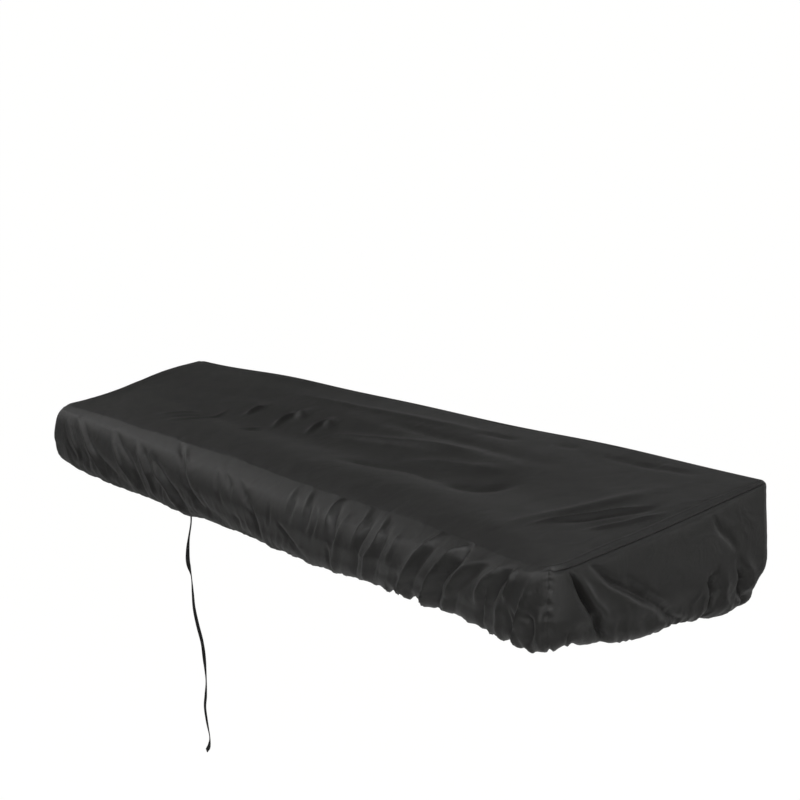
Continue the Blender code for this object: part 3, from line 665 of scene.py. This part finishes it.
panels = {side: skirt(side) for side in SIDES}


def top_patch():
    """The top's points on a patch between the rims of the four sides, as columns along it and rows from the
    back to the front."""
    front, right = panels["front"]["points"][:, 0], panels["right"]["points"][:, 0]
    back, left = panels["back"]["points"][::-1, 0], panels["left"]["points"][::-1, 0]
    v = ((right[:, 1] - right[0, 1]) / (right[-1, 1] - right[0, 1]))[None, :, None]
    u = ((front[:, 0] - front[0, 0]) / (front[-1, 0] - front[0, 0]))[:, None, None]
    ruled = front[:, None] * (1 - v) + back[:, None] * v + left[None, :] * (1 - u) + right[None, :] * u
    corners = (front[0] * (1 - u) + front[-1] * u) * (1 - v) + (back[0] * (1 - u) + back[-1] * u) * v
    points = ruled - corners
    points[..., 2] = top_height(points[..., 0], points[..., 1]) + HEM_LEVEL
    points[0], points[-1], points[:, 0], points[:, -1] = left, right, front, back
    return points[:, ::-1]


def soften_rim(top, front, clear, roll_share=0.55, rounds=60):
    """Eases the change from the flat top into the front roll, more where the roll is wide, and not at the
    corners."""
    line = np.concatenate([top[:, :-1], front], axis=1)
    rim = top.shape[1] - 1
    gone = np.concatenate(
        [np.zeros((len(line), 1)), np.cumsum(np.linalg.norm(np.diff(line, axis=1), axis=2), axis=1)], axis=1
    )
    roll = through(EDGES["front"], line[:, rim, 0])[:, :1]
    weight = 0.5 * np.exp(
        -(((gone - gone[:, rim : rim + 1]) / (roll_share * roll + 0.004)) ** 2)
    )[:, 1:-1, None]
    weight *= clear[:, None, None]
    for _ in range(rounds):
        before, after = line[:, 1:-1] - line[:, :-2], line[:, 2:] - line[:, 1:-1]
        a, b = (np.linalg.norm(d, axis=2, keepdims=True) + 1e-9 for d in (before, after))
        line[:, 1:-1] += weight * (after * a - before * b) / (a + b)
    return line[:, : rim + 1], line[:, rim:]


top = top_patch()
top, panels["front"]["points"] = soften_rim(
    top, panels["front"]["points"], smooth(panels["front"]["corner"][:, 0] / 0.03)
)


def lowest(values):
    """The lowest value within two points of each point of a grid."""
    for axis in (0, 1):
        for _ in range(2):
            padded = np.pad(values, [(1, 1) if k == axis else (0, 0) for k in (0, 1)], mode="edge")
            n = values.shape[axis]
            values = np.minimum.reduce([padded.take(range(k, k + n), axis=axis) for k in range(3)])
    return values


def raised(points, height):
    """A grid's outer face, raised by its fine relief, and the coated face under it."""
    normal = grid_normals(points)
    return points + normal * height[..., None], points + normal * (lowest(height) - LINING_DEPTH)[..., None]


for side, panel in panels.items():
    panel["points"], panel["coated"] = raised(panel["points"], fine_relief(side, panel))
for side, panel in panels.items():
    follower = panels[NEXT_SIDE[side]]
    for face in ("points", "coated"):
        shared = (panel[face][-1, : SEAM_ROW + 1] + follower[face][0, : SEAM_ROW + 1]) / 2
        panel[face][-1, : SEAM_ROW + 1] = follower[face][0, : SEAM_ROW + 1] = shared
x, y = top[..., 0], top[..., 1]
u, v = (np.minimum(t, t[::-1]) for t in (np.arange(top.shape[0]), np.arange(top.shape[1])))
inside = smooth(u / 8)[:, None] * smooth(v / 6)[None, :]
top_folds = creases(TOP_CREASES, x, y) + 0.0005 * cloud(x / 0.08, y / 0.026, 31) + 0.0004 * cloud(
    x / 0.03 + y / 0.03, y / 0.018, 32
)
top, top_coated = raised(top, top_folds * inside)
rims = (panels["left"], panels["right"], panels["back"], panels["front"])
for face, name in ((top, "points"), (top_coated, "coated")):
    face[0], face[-1] = rims[0][name][:, 0], rims[1][name][::-1, 0]
    face[:, 0], face[:, -1] = rims[2][name][::-1, 0], rims[3][name][:, 0]


def cloth(name, patches, outside, inside):
    """One piece of cloth from grids of outer points, coated points and places in the flat cloth: outer face, a
    coated inner face at half as many points, and edges that join the two."""
    corners, number = np.unique(
        np.concatenate([p.reshape(-1, 3) for p, _, _ in patches]), axis=0, return_inverse=True
    )
    number = number.reshape(-1)
    flat, coated = np.zeros((len(corners), 2)), np.zeros((len(corners), 3))
    outer_faces, outer_flat, double, mids, start = [], [], [], [], 0
    for points, under, places in patches:
        wide, deep = points.shape[:2]
        n = number[start : start + wide * deep].reshape(wide, deep)
        start += wide * deep
        flat[n], coated[n] = places, under
        order = (
            (slice(None, -1), slice(None, -1)), (slice(None, -1), slice(1, None)),
            (slice(1, None), slice(1, None)), (slice(1, None), slice(None, -1))
        )
        outer_faces.append(np.stack([n[k] for k in order], -1).reshape(-1, 4))
        outer_flat.append(np.stack([places[k] for k in order], -2).reshape(-1, 4, 2))
        even = n[::2, ::2]
        double.append(np.stack([even[k] for k in order], -1).reshape(-1, 4))
        side_mids = (n[:-1:2, 1::2], n[1::2, 2::2], n[2::2, 1::2], n[1::2, :-1:2])
        mids.append(np.stack(side_mids, -1).reshape(-1, 4))
    outer_faces, outer_flat = np.concatenate(outer_faces), np.concatenate(outer_flat)
    double, mids = np.concatenate(double), np.concatenate(mids)
    used, inner = np.unique(double, return_inverse=True)
    inner = inner.reshape(-1, 4) + len(corners)
    inner_number = np.full(len(corners), -1)
    inner_number[used] = np.arange(len(used)) + len(corners)
    everything = np.concatenate([corners, coated[used]])
    ends = np.stack([double, np.roll(double, -1, axis=1)], -1).reshape(-1, 2)
    _, which, count = np.unique(np.sort(ends, axis=1), axis=0, return_index=True, return_counts=True)
    border = which[count == 1]
    a, b, m = ends[border, 0], ends[border, 1], mids.reshape(-1)[border]
    a2, b2 = inner_number[a], inner_number[b]
    rim = np.concatenate([np.stack(t, -1) for t in ((m, a, a2), (b, m, b2), (m, a2, b2))])
    loops = np.concatenate([outer_faces.reshape(-1), inner[:, ::-1].reshape(-1), rim.reshape(-1)])
    sizes = np.concatenate([np.full(len(outer_faces) + len(inner), 4), np.full(len(rim), 3)])
    mesh = bpy.data.meshes.new(name)
    mesh.vertices.add(len(everything))
    mesh.vertices.foreach_set("co", everything.astype(np.float32).ravel())
    mesh.loops.add(len(loops))
    mesh.loops.foreach_set("vertex_index", loops.astype(np.int32))
    mesh.polygons.add(len(sizes))
    starts = np.concatenate([[0], np.cumsum(sizes)[:-1]])
    mesh.polygons.foreach_set("loop_start", starts.astype(np.int32))
    slots = np.concatenate([np.zeros(len(outer_faces)), np.ones(len(inner)), np.zeros(len(rim))])
    mesh.polygons.foreach_set("material_index", slots.astype(np.int32))
    mesh.polygons.foreach_set("use_smooth", slots + 1 > 0)
    mesh.update(calc_edges=True)
    uv = mesh.uv_layers.new(name=FLAT_MAP)
    whole = np.concatenate([flat, flat[used]])
    places = np.concatenate([outer_flat.reshape(-1, 2), whole[loops[outer_faces.size :]]])
    uv.uv.foreach_set("vector", places.astype(np.float32).ravel())
    mesh.materials.append(outside)
    mesh.materials.append(inside)
    mesh.validate()
    piece = bpy.data.objects.new(name, mesh)
    scene.collection.objects.link(piece)
    return piece


def node(tree, kind, inputs=None, **settings):
    """A new node with its settings, and its inputs set to values or joined to other nodes."""
    made = tree.nodes.new("ShaderNode" + kind)
    for key, value in settings.items():
        setattr(made, key, value)
    for key, value in (inputs or {}).items():
        if isinstance(value, bpy.types.NodeSocket):
            tree.links.new(value, made.inputs[key])
        else:
            made.inputs[key].default_value = value
    return made


def math_node(tree, operation, *values):
    """The output of one sum of a node tree."""
    return node(tree, "Math", dict(enumerate(values)), operation=operation).outputs[0]


def group(name, inputs, outputs):
    """An empty node group with named inputs and outputs, as the tree, its inputs and its outputs."""
    tree = bpy.data.node_groups.new(name, "ShaderNodeTree")
    for label, kind, value in inputs:
        socket = tree.interface.new_socket(label, in_out="INPUT", socket_type="NodeSocket" + kind)
        if value is not None:
            socket.default_value = value
    for label, kind in outputs:
        tree.interface.new_socket(label, in_out="OUTPUT", socket_type="NodeSocket" + kind)
    return tree, tree.nodes.new("NodeGroupInput").outputs, tree.nodes.new("NodeGroupOutput").inputs


FLAT_MAP = "flat_cloth"

# Plain weave: two sets of threads that pass over and under each other.
weave, given, result = group(
    "plain_weave", (("Flat", "Vector", None), ("Threads", "Float", 2200.0)), (("Height", "Float"),)
)
spread = node(weave, "VectorMath", {0: given["Flat"]}, operation="SCALE")
weave.links.new(given["Threads"], spread.inputs["Scale"])
split = node(weave, "SeparateXYZ", {0: spread.outputs[0]})
across = [
    math_node(
        weave, "ABSOLUTE", math_node(weave, "SINE", math_node(weave, "MULTIPLY", split.outputs[k], math.pi))
    )
    for k in (0, 1)
]
cells = math_node(weave, "ADD", *(math_node(weave, "FLOOR", split.outputs[k]) for k in (0, 1)))
over = math_node(weave, "FLOORED_MODULO", cells, 2.0)
threads = [
    math_node(weave, "MULTIPLY", across[k], math_node(weave, "MULTIPLY_ADD", across[1 - k], 0.5, 0.5))
    for k in (0, 1)
]
height = math_node(
    weave, "ADD", threads[0],
    math_node(weave, "MULTIPLY", over, math_node(weave, "SUBTRACT", threads[1], threads[0]))
)
weave.links.new(height, result["Height"])

# Uneven dye, coating and handling: a broad tone, a fine grain and the soft crinkle of cloth that was packed.
mottle, given, result = group(
    "cloth_mottle", (("Crinkle Size", "Float", 38.0),),
    (("Tone", "Float"), ("Grain", "Float"), ("Crinkle", "Float"))
)
place = node(mottle, "TexCoord").outputs["Object"]
wide = node(mottle, "TexNoise", {"Vector": place, "Scale": 7.0, "Detail": 3.0, "Roughness": 0.55})
fine = node(mottle, "TexNoise", {"Vector": place, "Scale": 260.0, "Detail": 2.0, "Roughness": 0.6})
crinkle = node(
    mottle, "TexNoise",
    {"Vector": place, "Scale": given["Crinkle Size"], "Detail": 4.0, "Roughness": 0.5, "Distortion": 0.8}
)
mottle.links.new(math_node(mottle, "MULTIPLY_ADD", wide.outputs["Fac"], 0.8, 0.1), result["Tone"])
mottle.links.new(fine.outputs["Fac"], result["Grain"])
mottle.links.new(crinkle.outputs["Fac"], result["Crinkle"])

# Where the cloth was folded to go in its bag: lines along it and across it that waver a little.
PACK_PITCH = 0.168
PACK_LINES = 0.071
PACK_WIDTH = 0.0022
packing, given, result = group("packing_creases", (("Flat", "Vector", None),), (("Height", "Float"),))
waver = node(packing, "TexNoise", {"Vector": given["Flat"], "Scale": 9.0, "Detail": 2.0})
shift = math_node(packing, "MULTIPLY_ADD", waver.outputs["Fac"], 0.01, -0.005)
split = node(packing, "SeparateXYZ", {0: given["Flat"]})
across = math_node(packing, "PINGPONG", math_node(packing, "ADD", split.outputs[0], shift), PACK_PITCH / 2)
along = math_node(
    packing, "ABSOLUTE",
    math_node(
        packing, "SUBTRACT",
        math_node(packing, "ABSOLUTE", math_node(packing, "ADD", split.outputs[1], shift)), PACK_LINES
    )
)
lines = []
for away in (across, along):
    line = node(
        packing, "MapRange",
        {"Value": away, "From Min": 0.0, "From Max": PACK_WIDTH, "To Min": 1.0, "To Max": 0.0},
        interpolation_type="SMOOTHSTEP"
    )
    lines.append(line.outputs[0])
packing.links.new(
    math_node(packing, "SUBTRACT", lines[1], math_node(packing, "MULTIPLY", lines[0], 0.6)), result["Height"]
)


def cloth_finish(
    name, dark, light, roughness, threads, sheen, metallic=0.0, depth=0.00012, crinkle=0.0, packed=0.0
):
    """A woven cloth's material between two colours, with its weave, crinkle and packing creases as bumps."""
    material = bpy.data.materials.new(name)
    material.use_nodes = True
    tree = material.node_tree
    shader = tree.nodes["Principled BSDF"]
    flat = node(tree, "UVMap", uv_map=FLAT_MAP).outputs["UV"]
    woven = node(tree, "Group", node_tree=weave)
    tree.links.new(flat, woven.inputs["Flat"])
    woven.inputs["Threads"].default_value = threads
    patches = node(tree, "Group", node_tree=mottle)
    mix = node(
        tree, "MapRange",
        {"Value": patches.outputs["Grain"], "From Min": 0.3, "From Max": 0.7, "To Min": -0.12, "To Max": 0.12}
    ).outputs[0]
    share = math_node(tree, "ADD", patches.outputs["Tone"], mix)
    colour = node(tree, "Mix", {0: share, 6: (*dark, 1), 7: (*light, 1)}, data_type="RGBA").outputs[2]
    tree.links.new(colour, shader.inputs["Base Color"])
    rough = math_node(tree, "MULTIPLY_ADD", patches.outputs["Tone"], 0.1, roughness - 0.05)
    tree.links.new(rough, shader.inputs["Roughness"])
    shader.inputs["Metallic"].default_value = metallic
    shader.inputs["Sheen Weight"].default_value = sheen
    shader.inputs["Sheen Roughness"].default_value = 0.45
    bump = node(tree, "Bump", {"Height": woven.outputs["Height"], "Strength": 0.5, "Distance": depth})
    if crinkle:
        soft = node(
            tree, "Bump", {"Height": patches.outputs["Crinkle"], "Strength": 1.0, "Distance": crinkle}
        )
        tree.links.new(soft.outputs[0], bump.inputs["Normal"])
        if packed:
            folded = node(tree, "Group", node_tree=packing)
            tree.links.new(flat, folded.inputs["Flat"])
            pressed = node(
                tree, "Bump", {"Height": folded.outputs["Height"], "Strength": 1.0, "Distance": packed}
            )
            tree.links.new(pressed.outputs[0], soft.inputs["Normal"])
    tree.links.new(bump.outputs[0], shader.inputs["Normal"])
    return material


black_cloth = cloth_finish(
    "black_cloth", (0.0125, 0.0122, 0.0117), (0.019, 0.0186, 0.018), 0.4, 2200.0, 0.1, crinkle=0.001
)
silver_coat = cloth_finish(
    "silver_coat", (0.5, 0.5, 0.5), (0.66, 0.66, 0.66), 0.34, 2200.0, 0.0, 0.75, crinkle=0.004, packed=0.0016
)


def flat_places(side, panel):
    """Where the points of a skirt lie in the flat cloth that goes over the top."""
    rim = panel["points"][:, :1]
    if side in ("front", "back"):
        sign = -1 if side == "front" else 1
        return np.stack([panel["run"], rim[..., 1] + sign * panel["down"]], -1)
    sign = 1 if side == "right" else -1
    return np.stack([rim[..., 0] + sign * panel["down"], panel["run"]], -1)


main_patches = [(top, top_coated, top[..., :2])]
for side, panel in panels.items():
    last = None if side in ("front", "back") else SEAM_ROW + 1
    main_patches.append(
        tuple(grid[:, :last] for grid in (panel["points"], panel["coated"], flat_places(side, panel)))
    )
main_panel = cloth("main_panel_cloth", main_patches, black_cloth, silver_coat)

# The thread of the casing's row of stitches, as short raised grains that follow the hem round.
STITCH_ROW = TURN_ROW + TURN_STEPS + 2
STITCH_PITCH = 0.0032
STITCH_LENGTH = 0.0025
STITCH_WIDTH = 0.0007
STITCH_HEIGHT = 0.00035
black_thread = cloth_finish("black_thread", (0.01, 0.01, 0.01), (0.018, 0.018, 0.018), 0.42, 5000.0, 0.1)


def stitches(name, grids):
    """Rows of stitches on the turned-in hems of some grids of cloth."""
    corners, faces = [], []
    for points in grids:
        line, outward = points[:, STITCH_ROW], grid_normals(points)[:, STITCH_ROW]
        gone = np.concatenate([[0], np.cumsum(np.linalg.norm(np.diff(line, axis=0), axis=1))])
        starts = np.arange(STITCH_PITCH, gone[-1] - STITCH_PITCH, STITCH_PITCH)
        at, top_side = (
            [
                np.stack([np.interp(starts + share * STITCH_LENGTH, gone, value[:, k]) for k in range(3)], -1)
                for share in (0, 0.5, 1)
            ]
            for value in (line, outward)
        )
        run = at[2] - at[0]
        across = np.cross(run, top_side[1])
        across *= STITCH_WIDTH / 2 / np.linalg.norm(across, axis=1, keepdims=True)
        raise_by = top_side[1] * STITCH_HEIGHT
        grains = np.stack(
            [at[0], at[1] + across + raise_by / 3, at[2], at[1] - across + raise_by / 3, at[1] + raise_by], 1
        )
        first = sum(len(c) for c in corners)
        corners.append(grains.reshape(-1, 3))
        base = first + 5 * np.arange(len(starts))[:, None]
        faces.append(
            np.concatenate([base + np.array(t) for t in ((0, 1, 4), (1, 2, 4), (2, 3, 4), (3, 0, 4))])
        )
    mesh = bpy.data.meshes.new(name)
    mesh.from_pydata(np.concatenate(corners).tolist(), [], np.concatenate(faces).tolist())
    mesh.shade_smooth()
    uv = mesh.uv_layers.new(name=FLAT_MAP)
    for loop in mesh.loops:
        uv.uv[loop.index].vector = mesh.vertices[loop.vertex_index].co.xy
    mesh.materials.append(black_thread)
    piece = bpy.data.objects.new(name, mesh)
    scene.collection.objects.link(piece)
    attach(piece, "root")
    return piece


main_stitches = stitches("main_panel_stitches", [panels[side]["points"] for side in ("front", "back")])
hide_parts("main_panel")
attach(main_panel, "root")

# The two end pieces, of the same cloth, are set in under the main panel's ends and sewn to it down the
# corners. Each tucks under the edge of the top, and its hem turns in with the same elastic casing.
END_COLUMNS = 3
LAP_DEPTH = 0.0011
LAP_WIDTH = 0.013
for side in ("right", "left"):
    panel = skirt(side, END_COLUMNS)
    below = panel["down"] - panel["down"][:, SEAM_ROW : SEAM_ROW + 1]
    lap = LAP_DEPTH * (1 - smooth(below / LAP_WIDTH)) * smooth(panel["corner"] / 0.014)
    points, coated = raised(panel["points"], fine_relief(side, panel) - lap)
    patch = tuple(grid[:, SEAM_ROW - 2 :] for grid in (points, coated, flat_places(side, panel)))
    end_piece = cloth(f"end_panel_{side}_cloth", [patch], black_cloth, silver_coat)
    end_stitches = stitches(f"end_panel_{side}_stitches", [points])
    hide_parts(f"end_panel_{side}")
    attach(end_piece, "root")

# The flat tie.
TIE_WIDTH = 0.006
TIE_CLOTH = 0.0009
TIE_STEPS = 150
TIE_ROUTE = (
    # x, y, z, turn in degrees
    (-0.166, -0.1125, -0.0228, -1),
    (-0.162, -0.1145, -0.04, -11),
    (-0.168, -0.1155, -0.062, -3),
    (-0.175, -0.1145, -0.082, 28),
    (-0.177, -0.1135, -0.099, 48),
    (-0.169, -0.1125, -0.117, -13),
    (-0.165, -0.1125, -0.14, 4),
    (-0.159, -0.1135, -0.16, 14),
    (-0.146, -0.1145, -0.18, 19),
    (-0.132, -0.1145, -0.201, 19),
    (-0.128, -0.1135, -0.222, 24),
    (-0.125, -0.1125, -0.253, -13),
    (-0.127, -0.1125, -0.275, 7),
    (-0.128, -0.1135, -0.292, 7),
    (-0.122, -0.1135, -0.312, 2),
    (-0.116, -0.1125, -0.332, -16),
    (-0.121, -0.1115, -0.346, 9),
    (-0.132, -0.1105, -0.356, -1),
)
TIE_SECTION = (
    # share of the half width, share of the half thickness
    (-1.0, 0.35), (-1.0, -0.35), (-0.82, -1.0), (-0.3, -0.8), (0.3, -0.8), (0.82, -1.0),
    (1.0, -0.35), (1.0, 0.35), (0.82, 1.0), (0.3, 0.8), (-0.3, 0.8), (-0.82, 1.0),
)
rows = [(k, *row) for k, row in enumerate(TIE_ROUTE)]
line = through(rows, np.linspace(0, len(rows) - 1, TIE_STEPS + 1))
centres = line[:, :3] + (0, 0, HEM_LEVEL)
turn = np.radians(line[:, 3:])
run = np.gradient(centres, axis=0)
run /= np.linalg.norm(run, axis=1, keepdims=True)
across = np.concatenate([np.cos(turn), np.sin(turn), 0 * turn], axis=1)
across -= run * (across * run).sum(axis=1, keepdims=True)
across /= np.linalg.norm(across, axis=1, keepdims=True)
face = np.cross(run, across)
section = np.array(TIE_SECTION)
rings = (
    centres[:, None]
    + across[:, None] * section[None, :, :1] * TIE_WIDTH / 2
    + face[:, None] * section[None, :, 1:] * TIE_CLOTH / 2
)
count = len(section)
faces = [
    (j * count + k, j * count + (k + 1) % count, (j + 1) * count + (k + 1) % count, (j + 1) * count + k)
    for j in range(TIE_STEPS)
    for k in range(count)
]
faces += [tuple(range(count))[::-1], tuple(TIE_STEPS * count + k for k in range(count))]
mesh = bpy.data.meshes.new("draw_tape_woven")
mesh.from_pydata(rings.reshape(-1, 3).tolist(), [], faces)
mesh.shade_smooth()
uv = mesh.uv_layers.new(name=FLAT_MAP)
down = np.concatenate([[0], np.cumsum(np.linalg.norm(np.diff(centres, axis=0), axis=1))])
for loop in mesh.loops:
    j, k = divmod(loop.vertex_index, count)
    uv.uv[loop.index].vector = (section[k, 0] * TIE_WIDTH / 2, down[j])
black_tape = cloth_finish("black_tape", (0.004, 0.004, 0.004), (0.008, 0.008, 0.008), 0.7, 1600.0, 0.03)
mesh.materials.append(black_tape)
draw_tape = bpy.data.objects.new("draw_tape_woven", mesh)
scene.collection.objects.link(draw_tape)
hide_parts("draw_tape")
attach(draw_tape, "root")

# The camera stands where the photograph's stood, right of the front and a little above the top.
camera = bpy.data.objects.new("camera", bpy.data.cameras.new("camera"))
camera.data.sensor_width = 36
camera.data.lens = 67.8
camera.data.clip_end = 50
camera.location = (1.716, -0.9305, 0.393 + HEM_LEVEL)
camera.rotation_euler = (math.radians(90 - 7.4), 0, math.radians(58.47))
scene.collection.objects.link(camera)
scene.camera = camera
